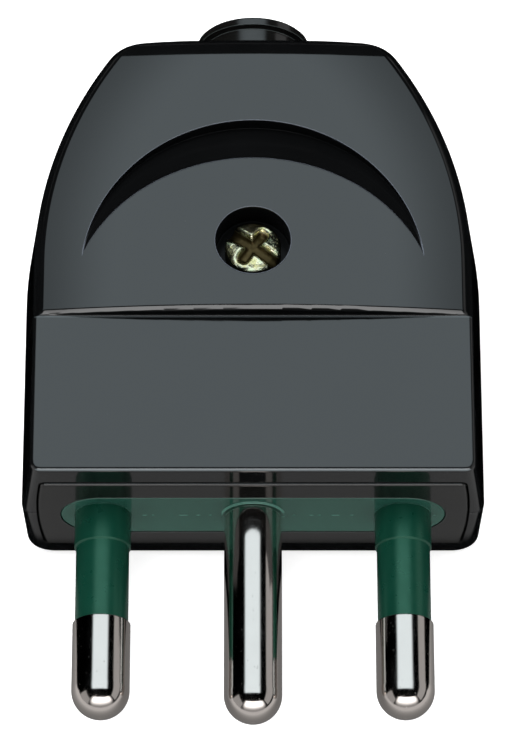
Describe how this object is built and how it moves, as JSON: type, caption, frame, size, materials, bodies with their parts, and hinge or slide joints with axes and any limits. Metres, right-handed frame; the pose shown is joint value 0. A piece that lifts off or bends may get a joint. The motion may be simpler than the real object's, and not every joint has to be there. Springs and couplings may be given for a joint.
{
  "type": "grounded plug",
  "caption": "Rewirable grounded plug with round pins in line, green insulating sleeves, a crowned two-part black casing, a crescent finger grip and a round cord outlet.",
  "frame": {"origin": "centre of the engagement face, on the axis of the earth pin and in the parting plane of the casing", "axes": "+Y from the pins to the cord outlet, +X across the row of pins, +Z out of the front with the assembly screw"},
  "size_m": [0.0402, 0.0667, 0.0188],
  "materials": {
    "shell_black": "polished moulded thermoset",
    "carrier_black": "moulded, a little duller than the casing",
    "plate_green": "moulded, glossy",
    "sleeve_green": "moulded, satin",
    "pin_nickel": "nickel plated",
    "terminal_brass": "machined",
    "screw_steel": "zinc plated",
    "screw_yellow": "yellow passivated zinc plate",
    "clamp_black": "moulded",
    "grommet_black": "moulded, smooth"
  },
  "bodies": {
    "root": {"front_shell": "shell_black", "rear_shell": "shell_black", "contact_carrier": "carrier_black", "sleeve_plate": "plate_green", "live_pin": "pin_nickel", "neutral_pin": "pin_nickel", "earth_pin": "pin_nickel", "live_pin_sleeve": "sleeve_green", "neutral_pin_sleeve": "sleeve_green", "live_terminal": "terminal_brass", "neutral_terminal": "terminal_brass", "earth_terminal": "terminal_brass", "live_terminal_screw": "screw_steel", "neutral_terminal_screw": "screw_steel", "earth_terminal_screw": "screw_steel", "assembly_screw": "screw_yellow", "assembly_nut": "terminal_brass", "cord_clamp": "clamp_black", "cord_clamp_screw_left": "screw_steel", "cord_clamp_screw_right": "screw_steel", "cord_grommet": "grommet_black"}
  },
  "joints": []
}
